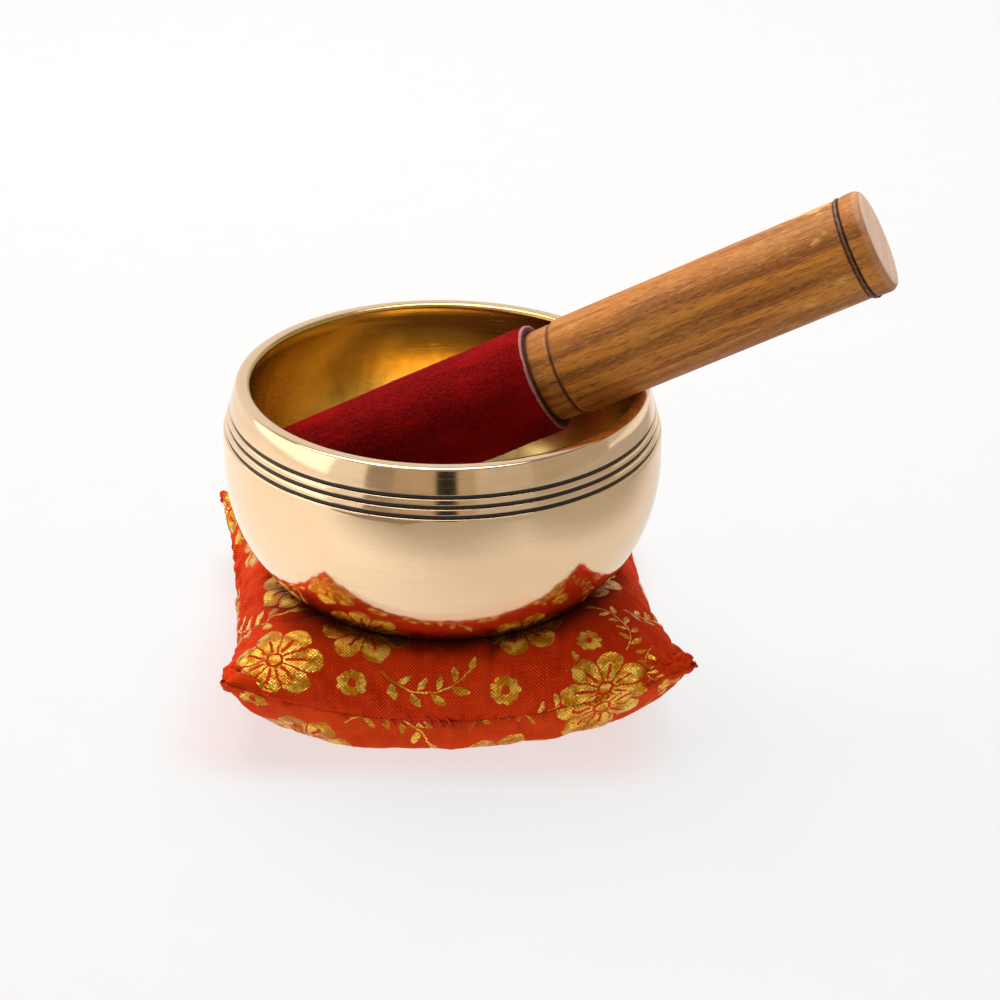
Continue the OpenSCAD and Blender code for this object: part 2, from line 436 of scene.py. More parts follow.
def wood_material():
    """Turned hardwood: rings round a pith beside the stick, pores along it, and a pale end face."""
    g = Graph("turned_hardwood")
    local = g.attribute("local_mm")
    x, y, z = g.split(local)
    bend = g.noise(g.stretch(local, (0.06, 0.06, 0.012)), 1.0, 3.0)
    shift = g.times(g.total(bend, -0.5), 9.0)
    from_pith = g.length(g.total(x, 26.0, shift), g.total(y, 9.0))
    rings = g.noise(g.join(g.times(from_pith, 0.42), 0.0, g.times(z, 0.004)), 1.0, 4.0, 0.65)
    pores = g.noise(g.stretch(local, (4.6, 4.6, 0.34)), 1.0, 2.0, 0.6)
    dashes = g.noise(g.stretch(local, (3.9, 3.9, 0.26)), 1.3, 2.0, 0.5, 0.6)
    streaks = g.noise(g.stretch(local, (0.34, 0.34, 0.022)), 1.0, 2.0, 0.6)
    broad = g.noise(g.stretch(local, (0.11, 0.11, 0.03)), 1.0, 2.0)
    tone = g.mix(g.soft(rings, 0.30, 0.68), rgb(0.260, 0.078, 0.009), rgb(0.590, 0.212, 0.026))
    tone = g.mix(g.soft(broad, 0.42, 0.70, 0.0, 0.5), tone, rgb(0.47, 0.190, 0.034))
    tone = g.mix(g.soft(streaks, 0.48, 0.64, 0.0, 0.75), tone, rgb(0.200, 0.060, 0.009))
    tone = g.mix(g.soft(dashes, 0.55, 0.67, 0.0, 0.5), tone, rgb(0.62, 0.30, 0.090))
    tone = g.mix(g.soft(pores, 0.52, 0.68, 0.0, 0.7), tone, rgb(0.075, 0.022, 0.006))
    patch = g.noise(g.stretch(local, (0.20, 0.20, 0.09)), 1.0, 3.0, 0.7)
    near_knob = g.times(g.soft(z, KNOB_START - 26.0, KNOB_START - 8.0),
                        g.soft(z, KNOB_START - 1.0, KNOB_START - 3.0))
    worn = g.times(near_knob, g.soft(patch, 0.56, 0.66))
    tone = g.mix(g.times(worn, 0.7), tone, rgb(0.64, 0.36, 0.100))
    # Painted shade: dark lines in the V groove, round the cord in its groove and at the gap under the
    # suede's edge.
    painted_groove_shade = g.total(
        g.soft(g.calc("ABSOLUTE", g.total(z, -V_GROOVE)), 0.12, 0.55, 0.8, 0.0),
        g.soft(g.calc("ABSOLUTE", g.total(z, -CORD_Z)), 0.5, 1.1, 0.9, 0.0),
        g.soft(g.calc("ABSOLUTE", g.total(z, -SUEDE_EDGE - 0.1)), 0.2, 0.9, 0.85, 0.0))
    tone = g.mix(g.calc("MINIMUM", painted_groove_shade, 1.0), tone, rgb(0.040, 0.016, 0.007))
    radius = g.length(x, y)
    knob_edge = g.times(g.soft(z, KNOB_END - 2.2, KNOB_END - 0.9), g.soft(pores, 0.3, 0.6, 0.7, 0.3))
    tone = g.mix(knob_edge, tone, rgb(0.56, 0.31, 0.20))
    end_face = g.times(g.soft(z, KNOB_END - 0.35, KNOB_END - 0.05), g.less(radius, HANDLE_RADIUS + 1))
    grain = g.noise(g.join(x, y, 0.0), 1.6, 4.0, 0.7)
    end_tone = g.mix(g.soft(grain, 0.35, 0.68), rgb(0.66, 0.43, 0.31), rgb(0.92, 0.70, 0.55))
    end_tone = g.mix(g.soft(rings, 0.3, 0.7, 0.0, 0.3), end_tone, rgb(0.52, 0.31, 0.19))
    tone = g.mix(end_face, tone, end_tone)
    rough = g.total(g.times(pores, 0.20), g.times(end_face, 0.15), 0.40)
    height = g.total(g.times(pores, -1.0), g.times(dashes, 0.35))
    return g.surface(Base_Color=tone, Roughness=rough, Coat_Weight=0.03, Coat_Roughness=0.25,
                     Specular_IOR_Level=0.14, Normal=g.bump(height, 0.5, 0.00014))


def suede_material(cut_edge):
    """The napped outside, or the paler cut edge of the same suede."""
    g = Graph("suede_cut_edge" if cut_edge else "red_suede")
    local = g.attribute("local_mm")
    nap = g.noise(g.stretch(local, (1.0, 1.0, 0.7)), 1.9, 5.0, 0.72)
    fleck = g.noise(local, 3.4, 3.0, 0.7)
    brushed = g.noise(g.stretch(local, (1.0, 1.0, 0.45)), 0.12, 3.0, 0.6)
    if cut_edge:
        x, y, _ = g.split(local)
        radius = g.length(x, y)
        # Inward of its pale lip the cut edge turns dark red: partly the suede's own colour, partly
        # painted shade of the gap next to the wood.
        lip = g.soft(g.total(radius, g.times(nap, 0.5)), SUEDE_RADIUS - 0.45, SUEDE_RADIUS - 0.15)
        tone = g.mix(lip, rgb(0.12, 0.018, 0.020), rgb(0.30, 0.13, 0.12))
        return g.surface(Base_Color=tone, Roughness=0.9, Normal=g.bump(nap, 0.6, 0.0003))
    tone = g.mix(g.soft(nap, 0.30, 0.68), rgb(0.065, 0.0004, 0.0005), rgb(0.33, 0.0015, 0.0018))
    tone = g.mix(g.soft(brushed, 0.42, 0.68, 0.0, 0.5), tone, rgb(0.44, 0.003, 0.004))
    tone = g.mix(g.soft(fleck, 0.58, 0.72, 0.0, 0.6), tone, rgb(0.72, 0.040, 0.028))
    return g.surface(Base_Color=tone, Roughness=0.95, Specular_IOR_Level=0.05,
                     Sheen_Weight=0.05, Sheen_Roughness=0.5, Sheen_Tint=rgb(1.0, 0.08, 0.05),
                     Normal=g.bump(g.total(nap, g.times(fleck, 0.8)), 0.9, 0.0008))


def cord_material():
    g = Graph("waxed_cord")
    local = g.attribute("local_mm")
    strand = g.noise(local, 2.2, 4.0, 0.7)
    tone = g.mix(g.soft(strand, 0.35, 0.7), rgb(0.050, 0.016, 0.006), rgb(0.24, 0.085, 0.030))
    return g.surface(Base_Color=tone, Roughness=g.soft(strand, 0.2, 0.8, 0.35, 0.7),
                     Normal=g.bump(strand, 0.5, 0.0002))


def thread_material():
    g = Graph("sewing_thread")
    local = g.attribute("local_mm")
    strand = g.noise(local, 3.0, 3.0, 0.7)
    tone = g.mix(g.soft(strand, 0.3, 0.7), rgb(0.42, 0.016, 0.003), rgb(0.74, 0.050, 0.008))
    return g.surface(Base_Color=tone, Roughness=0.8, Specular_IOR_Level=0.15,
                     Normal=g.bump(strand, 0.6, 0.0002))


def filling_material():
    g = Graph("fibre_filling")
    local = g.attribute("local_mm")
    fibres = g.noise(local, 0.8, 5.0, 0.75, 1.0)
    tone = g.mix(fibres, rgb(0.80, 0.75, 0.66), rgb(0.95, 0.93, 0.88))
    return g.surface(Base_Color=tone, Roughness=0.95, Normal=g.bump(fibres, 0.8, 0.001))


def capsule(g, x, y, start, stop, width):
    """Distance from the stretch start..stop of the x axis, less the width: negative inside."""
    held = g.calc("MINIMUM", g.calc("MAXIMUM", x, start), stop)
    dx = g.calc("SUBTRACT", x, held)
    return g.total(g.length(dx, y), -width)


def flower_mask(g, x, y):
    """A seven-petalled flower of 11 mm radius: round petals, each with a slit, and a small centre."""
    pitch = 2 * math.pi / 7
    r = g.length(x, y)
    turn = g.total(g.calc("FLOORED_MODULO", g.calc("ARCTAN2", y, x), pitch), -pitch / 2)
    along, across = g.times(r, g.calc("COSINE", turn)), g.times(r, g.calc("SINE", turn))
    off = g.calc("ABSOLUTE", across)
    petal = g.less(capsule(g, along, across, 2.4, 7.6, 3.35), 0.0)
    gap = g.less(g.total(g.times(along, math.tan(pitch / 2)), g.times(off, -1.0)), 0.26)
    slit = g.less(capsule(g, along, across, 3.0, 7.0, 0.40), 0.0)
    ring = g.times(g.less(1.5, r), g.less(r, 2.2))
    holes = g.calc("MAXIMUM", g.calc("MAXIMUM", slit, g.times(gap, g.less(2.2, r))), ring)
    return g.times(g.calc("MAXIMUM", petal, g.less(r, 2.4)), g.total(1.0, g.times(holes, -1.0)))


def daisy_mask(g, x, y):
    """A small flower of 3.7 mm radius with a scalloped edge and a hole."""
    r = g.length(x, y)
    turn = g.times(g.calc("ARCTAN2", y, x), 4.5)
    edge = g.total(g.times(g.calc("ABSOLUTE", g.calc("COSINE", turn)), 0.65), 3.05)
    return g.times(g.less(r, edge), g.less(1.1, r))


def leaf_mask(g, along, across, length, width):
    """A pointed leaf from 0 to length along its own axis."""
    share = g.total(g.times(along, 2 / length), -1.0)
    half = g.times(g.total(1.0, g.times(share, share, -1.0)), width / 2)
    return g.less(g.calc("ABSOLUTE", across), half)


def sprig_mask(g, x, y):
    """A stem that sags 6 mm over a 23.6 mm chord, with leaves on both sides and one at its end."""
    chord, sag = 23.6, 6.0
    bend = (chord * chord / 4 + sag * sag) / (2 * sag)
    half_turn = math.asin(chord / 2 / bend)
    dx, dy = g.total(x, -chord / 2), g.total(y, sag - bend)
    r = g.length(dx, dy)
    out = g.total(bend, g.times(r, -1.0))
    along = g.times(g.total(g.calc("ARCTAN2", dx, g.times(dy, -1.0)), half_turn), bend)
    length = 2 * half_turn * bend
    stem = g.times(g.less(g.calc("ABSOLUTE", out), 0.24), g.less(0.0, along), g.less(along, length))
    inside = g.less(0.0, out)
    pitch = 5.4
    first = g.total(g.times(inside, 1.6), 3.4)
    from_first = g.calc("SUBTRACT", along, first)
    cell = g.total(g.calc("FLOORED_MODULO", from_first, pitch), -0.4)
    away = g.total(g.calc("ABSOLUTE", out), -0.45)
    lean = math.radians(52)
    leaf_x = g.total(g.times(cell, math.cos(lean)), g.times(away, math.sin(lean)))
    leaf_y = g.total(g.times(cell, -math.sin(lean)), g.times(away, math.cos(lean)))
    leaf = g.times(leaf_mask(g, leaf_x, leaf_y, 4.7, 2.1), g.less(0.0, from_first),
                   g.less(from_first, 4 * pitch - 0.2), g.less(0.0, away))
    tip = leaf_mask(g, g.total(along, -length + 0.6), out, 4.2, 1.9)
    return g.calc("MAXIMUM", g.calc("MAXIMUM", stem, leaf), tip)


FLOWER, DAISY, SPRIG = 1, 2, 3


def printed_cotton():
    """Orange-red plain weave with a gold foil print: each face carries its motif's own coordinates."""
    g = Graph("printed_cotton")
    flat = g.attribute("flat_mm")
    u, v, underneath = g.split(flat)
    motif = g.attribute("motif_mm")
    wobble = g.noise(flat, 0.45, 2.0)
    x, y, kind = g.split(motif)
    drift = g.times(g.total(wobble, -0.5), 1.5)
    x, y = g.total(x, drift), g.total(y, g.times(drift, -0.7))
    printed = g.total(
        g.times(flower_mask(g, x, y), g.calc("COMPARE", kind, float(FLOWER), 0.2)),
        g.times(daisy_mask(g, x, y), g.calc("COMPARE", kind, float(DAISY), 0.2)),
        g.times(sprig_mask(g, x, y), g.calc("COMPARE", kind, float(SPRIG), 0.2)))
    thread = 2 * math.pi / 0.9
    warp = g.calc("SINE", g.times(u, thread))
    weft = g.calc("SINE", g.times(v, thread))
    weave = g.times(warp, weft)
    slub_u = g.noise(g.stretch(flat, (2.4, 0.16, 1.0)), 1.0, 2.0)
    slub_v = g.noise(g.stretch(flat, (0.16, 2.4, 1.0)), 1.0, 2.0)
    slub = g.calc("MAXIMUM", slub_u, slub_v)
    grainy = g.noise(flat, 2.6, 3.0, 0.7)
    missing = g.soft(g.total(grainy, g.times(weave, 0.05)), 0.58, 0.64)
    foil = g.times(printed, g.total(1.0, g.times(missing, -0.85)))
    faded = g.noise(flat, 0.07, 2.0)
    cloth = g.mix(g.soft(slub, 0.45, 0.75), rgb(0.76, 0.036, 0.002), rgb(0.95, 0.076, 0.004))
    cloth = g.mix(g.soft(weave, -0.6, 0.8, 0.70, 0.0), cloth, rgb(0.22, 0.006, 0.0004))
    cloth = g.mix(g.soft(faded, 0.4, 0.7, 0.0, 0.3), cloth, rgb(0.80, 0.060, 0.005))
    # Painted light: the bottom panel is made lighter and pinker, standing in for the light the floor
    # throws up on it.
    cloth = g.mix(g.times(underneath, -0.22), cloth, rgb(0.98, 0.120, 0.020))
    tarnish = g.noise(flat, 0.26, 3.0, 0.6)
    gold = g.mix(g.soft(tarnish, 0.42, 0.60), rgb(0.56, 0.215, 0.009), rgb(1.0, 0.63, 0.10))
    gold = g.mix(g.soft(weave, 0.1, 0.9, 0.0, 0.5), gold, rgb(0.40, 0.12, 0.008))
    tone = g.mix(foil, cloth, gold)
    # Painted shade: the cloth is darkened in its base colour where other surfaces, such as the bowl,
    # come close, less on the foil and not at all on the bottom panel.
    painted_contact_shade = g.times(g.soft(g.openness(0.014), 0.22, 0.78, 0.85, 0.0), g.total(1.0, underneath),
                     g.total(1.0, g.times(foil, -0.6)))
    tone = g.mix(painted_contact_shade, tone, rgb(0.045, 0.004, 0.0005))
    crinkle = g.noise(flat, 0.24, 3.0, 0.5)
    height = g.total(g.times(weave, 0.7), g.times(slub, 0.8), g.times(crinkle, foil, 11.0))
    return g.surface(Base_Color=tone, Metallic=g.times(foil, 0.96),
                     Roughness=g.mix_value(foil, 0.82, g.soft(grainy, 0.3, 0.7, 0.20, 0.34)),
                     Specular_IOR_Level=0.05, Sheen_Weight=0.12, Sheen_Roughness=0.25,
                     Sheen_Tint=rgb(1.0, 0.25, 0.05), Normal=g.bump(height, 0.6, 0.00013))


# ---------------------------------------------------------------- bowl


def belly_arc(depth):
    """Outside radius of the belly, an ellipse above and one below its widest point."""
    drop = SHOULDER_DROP if depth < BELLY_DEPTH else BOWL_HEIGHT - BELLY_DEPTH
    share = (depth - BELLY_DEPTH) / drop
    return FOOT_RADIUS + (BELLY_RADIUS - FOOT_RADIUS) * math.sqrt(max(0.0, 1 - share * share))


def band_radius(depth):
    """Outside radius of the conical band between the rim and the belly."""
    start = RIM_THICKNESS / 2
    share = (depth - start) / (BAND_HEIGHT - start)
    return RIM_RADIUS + (belly_arc(BAND_HEIGHT) - RIM_RADIUS) * share


def inner_radius(depth):
    """Inside radius, which follows the belly at the wall's thickness."""
    drop = INNER_SHOULDER_DROP if depth < BELLY_DEPTH else BOWL_HEIGHT - FLOOR - BELLY_DEPTH
    share = (depth - BELLY_DEPTH) / drop
    reach = BELLY_RADIUS - WALL - INNER_FLOOR_RADIUS
    return INNER_FLOOR_RADIUS + reach * math.sqrt(max(0.0, 1 - share * share))


def bowl_profile():
    """From the middle of the foot, up the outside, over the rim and down to the inner floor."""
    path = [(0.0, BOWL_HEIGHT), (FOOT_RADIUS * 0.5, BOWL_HEIGHT)]
    for angle in np.linspace(-90, 0, BELLY_STEPS):
        a = math.radians(angle)
        path.append((FOOT_RADIUS + (BELLY_RADIUS - FOOT_RADIUS) * math.cos(a),
                     BELLY_DEPTH - (BOWL_HEIGHT - BELLY_DEPTH) * math.sin(a)))
    path.extend((belly_arc(d), d) for d in np.linspace(BELLY_DEPTH - 1, BAND_HEIGHT, 8))
    half = GROOVE_WIDTH / 2
    for depth in reversed(GROOVE_DEPTHS):
        for away, cut in ((half + 0.22, 0.0), (half + 0.06, 0.05), (half, 0.16), (half * 0.92, 1.0),
                          (0.0, 1.0), (-half * 0.92, 1.0), (-half, 0.22), (-half - 0.08, 0.06),
                          (-half - 0.30, 0.0)):
            path.append((band_radius(depth + away) - GROOVE_DEPTH * cut, depth + away))
    path.extend([(band_radius(3.0), 3.0), (band_radius(0.45), 0.45), (band_radius(0.2) - 0.08, 0.2),
                 (band_radius(0.0) - 0.28, 0.06), (band_radius(0.0) - 0.7, 0.0), (50.0, 0.0),
                 (48.9, 0.0), (48.4, 0.12), (48.05, 0.42), (47.85, 1.1)])
    path.extend((inner_radius(d), d) for d in np.linspace(4.5, BELLY_DEPTH, 12))
    for angle in np.linspace(0, 90, 36)[1:]:
        depth = BELLY_DEPTH + (BOWL_HEIGHT - FLOOR - BELLY_DEPTH) * math.sin(math.radians(angle))
        path.append((inner_radius(depth), depth))
    path.extend([(INNER_FLOOR_RADIUS * 0.5, BOWL_HEIGHT - FLOOR), (0.0, BOWL_HEIGHT - FLOOR)])
    return [(r, RIM_Z - d) for r, d in path]


def build_bowl():
    bowl = lathe("singing_bowl", [bowl_profile()], brass_material(), sharp_degrees=40)
    x, y, z = stored_local(bowl).T
    depth = RIM_Z - z
    inside = np.hypot(x, y) < [inner_radius(d) + 1.2 for d in depth]
    inside &= (depth > 0.1) & (depth < BOWL_HEIGHT - FLOOR + 1)
    bowl.data.attributes.new("inside", "FLOAT", "POINT").data.foreach_set(
        "value", inside.astype(np.float32))
    settle(bowl, "bowl", "polished_brass", "bowl")
    rings = []
    half = GROOVE_WIDTH / 2 * 0.90
    for depth in GROOVE_DEPTHS:
        bed = band_radius(depth) - GROOVE_DEPTH + 0.01
        section = [(0.0, half), (0.22, half), (0.30, half * 0.6), (0.33, 0.0), (0.30, -half * 0.6),
                   (0.22, -half), (0.0, -half)]
        rings.append([(bed + out, RIM_Z - depth - away) for out, away in section])
    lacquer = lathe("groove_lacquer_rings", rings, lacquer_material(), sharp_degrees=60)
    settle(lacquer, "bowl", "black_lacquer", "groove_lacquer")


# ---------------------------------------------------------------- striker


def handle_profile():
    """The stick from its hidden end, over core, collar, V groove, grip and cord groove, to the knob."""
    turned = [(0.0, TIP + SUEDE_THICKNESS + 0.1), (CORE_RADIUS - 1.5, TIP + SUEDE_THICKNESS + 0.1),
              (CORE_RADIUS - 0.1, TIP + 4.0), (CORE_RADIUS - 0.1, SUEDE_EDGE - 1.0)]
    collar = rounded([(CORE_RADIUS - 0.1, SUEDE_EDGE - 1.0), (CORE_RADIUS, SUEDE_EDGE + 0.3),
                      (CORE_RADIUS + 0.1, COLLAR_END - 0.6), (CORE_RADIUS + 0.2, V_GROOVE - 0.55),
                      (CORE_RADIUS - 0.45, V_GROOVE), (HANDLE_RADIUS - 0.1, V_GROOVE + 0.95),
                      (HANDLE_RADIUS, V_GROOVE + 2.0), (HANDLE_RADIUS, CORD_Z - 1.9),
                      (HANDLE_RADIUS - 0.05, CORD_Z - 0.6),
                      (HANDLE_RADIUS - CORD_GROOVE, CORD_Z - 0.35),
                      (HANDLE_RADIUS - CORD_GROOVE, CORD_Z + 0.35),
                      (HANDLE_RADIUS + 0.05, KNOB_START - 0.1), (KNOB_RADIUS, KNOB_START + 1.2),
                      (KNOB_RADIUS, KNOB_END - 1.3), (KNOB_RADIUS - 0.9, KNOB_END - 0.15),
                      (KNOB_RADIUS - 2.2, KNOB_END), (4.0, KNOB_END), (0.0, KNOB_END)],
                     0.8)
    return spaced(turned[:-1] + collar, 3.0)


def suede_profile():
    """The sleeve's outside from its closed end to the cut edge, and back along the core."""
    inner = CORE_RADIUS + 0.02
    wall = TIP + SUEDE_THICKNESS
    outside = rounded([(0.0, TIP), (SUEDE_RADIUS - 4.5, TIP), (SUEDE_RADIUS - 1.0, TIP + 1.2),
                       (SUEDE_RADIUS, TIP + 5.0), (SUEDE_RADIUS, SUEDE_EDGE - 0.4),
                       (SUEDE_RADIUS - 0.25, SUEDE_EDGE)], 3.0, 7)
    return spaced(outside, 0.65) + [(SUEDE_RADIUS - 0.6, SUEDE_EDGE + 0.05),
                                    (inner + 0.35, SUEDE_EDGE - 0.05), (inner, SUEDE_EDGE - 0.3),
                                    (inner, SUEDE_EDGE - 2.0), (inner, wall + 3.0),
                                    (inner - 2.0, wall), (0.0, wall)]


def suede_nap(points):
    """Raises the outside by a short uneven nap and lets the cut edge wander."""
    made = points.copy()
    for i, (x, y, z) in enumerate(points):
        r = math.hypot(x, y)
        if r < CORE_RADIUS + 0.5 and z > TIP + 0.5:
            continue
        place = Vector((x, y, z))
        raised = 0.16 * noise.noise(place * 0.9) + 0.10 * noise.noise(place * 2.4)
        slack = 0.22 * noise.noise(place * 0.11)
        grow = 1 + (raised + slack) / max(r, 4.0)
        near_edge = max(0.0, 1 - (SUEDE_EDGE - z) / 2.5)
        wander = near_edge * (0.16 * noise.noise(Vector((x, y, 0)) * 0.25)
                              + 0.07 * noise.noise(Vector((x, y, 5)) * 1.4))
        made[i] = (x * grow, y * grow, z + wander)
    return made


def build_striker():
    handle = lathe("striker_wood_handle", [handle_profile()], wood_material(), in_striker,
                   steps=192, sharp_degrees=50)
    settle(handle, "striker", "turned_hardwood", "striker_handle")
    wrap = lathe("striker_suede_sleeve", [suede_profile()], suede_material(False), in_striker,
                 change=suede_nap, sharp_degrees=60)
    wrap.data.materials.append(suede_material(True))
    local = stored_local(wrap)
    for face in wrap.data.polygons:
        x, y, z = local[list(face.vertices)].mean(0)
        face.material_index = int(z > SUEDE_EDGE - 0.5 and math.hypot(x, y) < SUEDE_RADIUS - 0.02)
    settle(wrap, "striker", "red_suede", "striker_suede_wrap")
    ring = HANDLE_RADIUS - CORD_GROOVE + CORD_DIAMETER / 2
    turns = np.linspace(0, 2 * math.pi, 220, endpoint=False)
    circle = np.stack([ring * np.cos(turns), ring * np.sin(turns), np.full(220, CORD_Z)], 1)
    band = tube(circle, CORD_DIAMETER * 0.38, 12, twist=0.75, strands=3, closed=True)
    spin = np.linspace(0, 2 * math.pi, 40, endpoint=False)
    low = math.radians(8)
    middle = np.array([(ring + 0.9) * math.cos(low), (ring + 0.9) * math.sin(low), CORD_Z])
    loop = middle + np.stack([0.9 * np.cos(spin), 0.55 * np.sin(spin), 0.9 * np.sin(spin)], 1)
    knot = tube(loop, CORD_DIAMETER * 0.33, 8, twist=0.8, strands=3, closed=True)
    points, faces = gather([band, knot])
    cord = mesh_piece("striker_cord_ring", in_striker(np.array(points)), faces, cord_material())
    store_local(cord, points)
    settle(cord, "striker", "waxed_cord", "striker_end_cord")


# ---------------------------------------------------------------- cushion


def even_spacing(cells):
    """Grid values from -1 to 1, spread evenly along the cushion's crowned middle section."""
    angle = np.linspace(0, math.pi, 2001)
    across, up = -np.cos(angle), TOP_CROWN / HALF_SIDE * np.sin(angle)
    length = np.concatenate([[0], np.cumsum(np.hypot(np.diff(across), np.diff(up)))])
    return np.interp(np.linspace(0, length[-1], cells + 1), length, across)


def underside(r):
    """Height of the bowl's outside over the cushion at radius r."""
    share = np.clip((r - FOOT_RADIUS) / (BELLY_RADIUS - FOOT_RADIUS), 0, 1)
    drop = BOWL_HEIGHT - BELLY_DEPTH
    low = RIM_Z - BELLY_DEPTH - drop * np.sqrt(1 - share * share)
    return np.where(r < BELLY_RADIUS, low, 1000.0)


def cushion_start(cells):
    """The top and bottom panels as (cells + 1)-square grids of points that share their edges."""
    line = even_spacing(cells)
    u, v = np.meshgrid(line, line, indexing="ij")
    across = u * (1 - SIDE_DRAW_IN * (1 - v * v))
    end_draw_in = (BACK_DRAW_IN + FRONT_DRAW_IN) / 2 + (BACK_DRAW_IN - FRONT_DRAW_IN) / 2 * v
    back = v * (1 - end_draw_in * (1 - u * u))
    seam = sum(((1 + side_u * across) * (1 + side_v * back) / 4)[..., None] * tip
               for side_u, side_v, tip in ((-1, -1, FRONT_LEFT), (1, -1, FRONT_RIGHT),
                                           (1, 1, BACK_RIGHT), (-1, 1, BACK_LEFT)))
    seam[..., 2] = SEAM_HEIGHT + (seam[..., 2] - SEAM_HEIGHT) * u * u * v * v
    full = np.sqrt(np.clip((1 - u * u) * (1 - v * v), 0, 1))
    top, bottom = seam.copy(), seam.copy()
    limit = underside(np.hypot(seam[..., 0], seam[..., 1])) - BOWL_GAP
    top[..., 2] = np.maximum(seam[..., 2], np.minimum(seam[..., 2] + TOP_CROWN * full, limit))
    bottom[..., 2] = np.maximum(0.05, seam[..., 2] - BOTTOM_CROWN * full)
    return top, bottom


def grid_faces(number, flip=False):
    """Quads over a square grid of vertex numbers."""
    faces = []
    for i in range(number.shape[0] - 1):
        for j in range(number.shape[1] - 1):
            face = [number[i, j], number[i + 1, j], number[i + 1, j + 1], number[i, j + 1]]
            faces.append([int(n) for n in (face[::-1] if flip else face)])
    return faces


def border_faces(number, other, flip=False):
    """Quads that join the borders of two square grids of vertex numbers."""
    last = len(number) - 1
    loop = ([(i, 0) for i in range(last)] + [(last, j) for j in range(last)]
            + [(i, last) for i in range(last, 0, -1)] + [(0, j) for j in range(last, 0, -1)])
    faces = []
    for a, b in zip(loop, loop[1:] + loop[:1]):
        quad = [int(n) for n in (number[a], other[a], other[b], number[b])]
        faces.append(quad[::-1] if flip else quad)
    return faces


def collider(name, points, faces):
    """A surface that the cloth can't pass."""
    piece = mesh_piece(name, np.asarray(points) * SIM_SCALE, faces, bpy.data.materials.new(name))
    piece.modifiers.new("Collision", "COLLISION")
    piece.collision.thickness_outer = 0.003
    piece.collision.cloth_friction = 2
    return piece


def simulate_cushion(top, bottom):
    """Blows the sewn pair of panels up as cloth against the bowl and the floor."""
    cells = len(top) - 1
    number_top = np.arange((cells + 1) ** 2).reshape(cells + 1, cells + 1)
    number_bottom = number_top.copy()
    inner = (cells - 1) ** 2
    number_bottom[1:-1, 1:-1] = np.arange(inner).reshape(cells - 1, cells - 1) + (cells + 1) ** 2
    points = np.concatenate([top.reshape(-1, 3), bottom[1:-1, 1:-1].reshape(-1, 3)])
    faces = grid_faces(number_top) + grid_faces(number_bottom, True)
    pad = mesh_piece("cushion_sim", points * SIM_SCALE, faces, bpy.data.materials.new("sim"))
    sewn = pad.vertex_groups.new(name="sewn")
    sewn.add([int(n) for n in seam_line(number_top)], 1.0, "REPLACE")
    loose = pad.vertex_groups.new(name="loose")
    for i in range(cells + 1):
        for j in range(cells + 1):
            edge = min(i, j, cells - i, cells - j) / cells
            share = min(1.0, edge / 0.10)
            loose.add([int(number_top[i, j]), int(number_bottom[i, j])], share, "REPLACE")
    foot_and_belly = bowl_profile()[:BELLY_STEPS + 2]
    shell = foot_and_belly + [(0.0, RIM_Z - BELLY_DEPTH)]
    steps = 96
    shell_points, shell_faces = [], []
    for r, z in shell:
        shell_points.extend((r * math.cos(2 * math.pi * k / steps),
                             r * math.sin(2 * math.pi * k / steps), z) for k in range(steps))
    for row in range(len(shell) - 1):
        for k in range(steps):
            n = (k + 1) % steps
            shell_faces.append([row * steps + k, row * steps + n, (row + 1) * steps + n,
                                (row + 1) * steps + k])
    floor = [(-200, -200, -0.3), (200, -200, -0.3), (200, 200, -0.3), (-200, 200, -0.3)]
    helpers = [collider("bowl_collider", shell_points, shell_faces),
               collider("floor_collider", floor, [[0, 1, 2, 3]])]
    cloth = pad.modifiers.new("Cloth", "CLOTH")
    cloth.point_cache.frame_start, cloth.point_cache.frame_end = 1, SIM_FRAMES
    how = cloth.settings
    how.quality, how.mass, how.air_damping = 8, 0.25, 2.0
    how.tension_stiffness = how.compression_stiffness = 25
    how.shear_stiffness, how.bending_stiffness = 6, 0.12
    how.tension_damping = how.compression_damping = how.shear_damping = 8
    how.bending_damping = 0.5
    how.use_pressure = True
    how.uniform_pressure_force = 9.0
    how.vertex_group_mass = "sewn"
    how.vertex_group_shrink = "loose"
    how.shrink_min, how.shrink_max = -0.03, -0.14
    how.effector_weights.gravity = 0
    cloth.collision_settings.use_collision = True
    cloth.collision_settings.collision_quality = 4
    cloth.collision_settings.distance_min = 0.004
    scene = bpy.context.scene
    scene.frame_start, scene.frame_end = 1, SIM_FRAMES
    for frame_number in range(1, SIM_FRAMES + 1):
        scene.frame_set(frame_number)
    shaped = pad.evaluated_get(bpy.context.evaluated_depsgraph_get()).to_mesh()
    moved = np.empty(len(points) * 3, np.float32)
    shaped.vertices.foreach_get("co", moved)
    moved = moved.reshape(-1, 3).astype(float) / (MM * SIM_SCALE)
    for piece in [pad, *helpers]:
        bpy.data.objects.remove(piece)
    scene.frame_set(1)
    shift = moved - points
    length = np.linalg.norm(shift, axis=1)
    shift *= np.minimum(1, SIM_LIMIT / np.maximum(length, 1e-9))[:, None]
    moved = points + shift
    return moved[number_top], moved[number_bottom]


def finer(grid, times):
    """The grid with times as many cells, by Catmull-Rom curves in both directions."""
    for axis in (0, 1):
        line = np.moveaxis(grid, axis, 0)
        cells = len(line) - 1
        at = np.linspace(0, cells, cells * times + 1)
        i = np.minimum(at.astype(int), cells - 1)
        t = (at - i)[:, None, None]
        padded_line = np.concatenate([2 * line[:1] - line[1:2], line, 2 * line[-1:] - line[-2:-1]])
        a, b, c, d = (padded_line[i + k] for k in range(4))
        line = 0.5 * (2 * b + (c - a) * t + (2 * a - 5 * b + 4 * c - d) * t ** 2
                      + (3 * b - a - 3 * c + d) * t ** 3)
        grid = np.moveaxis(line, 0, axis)
    return grid


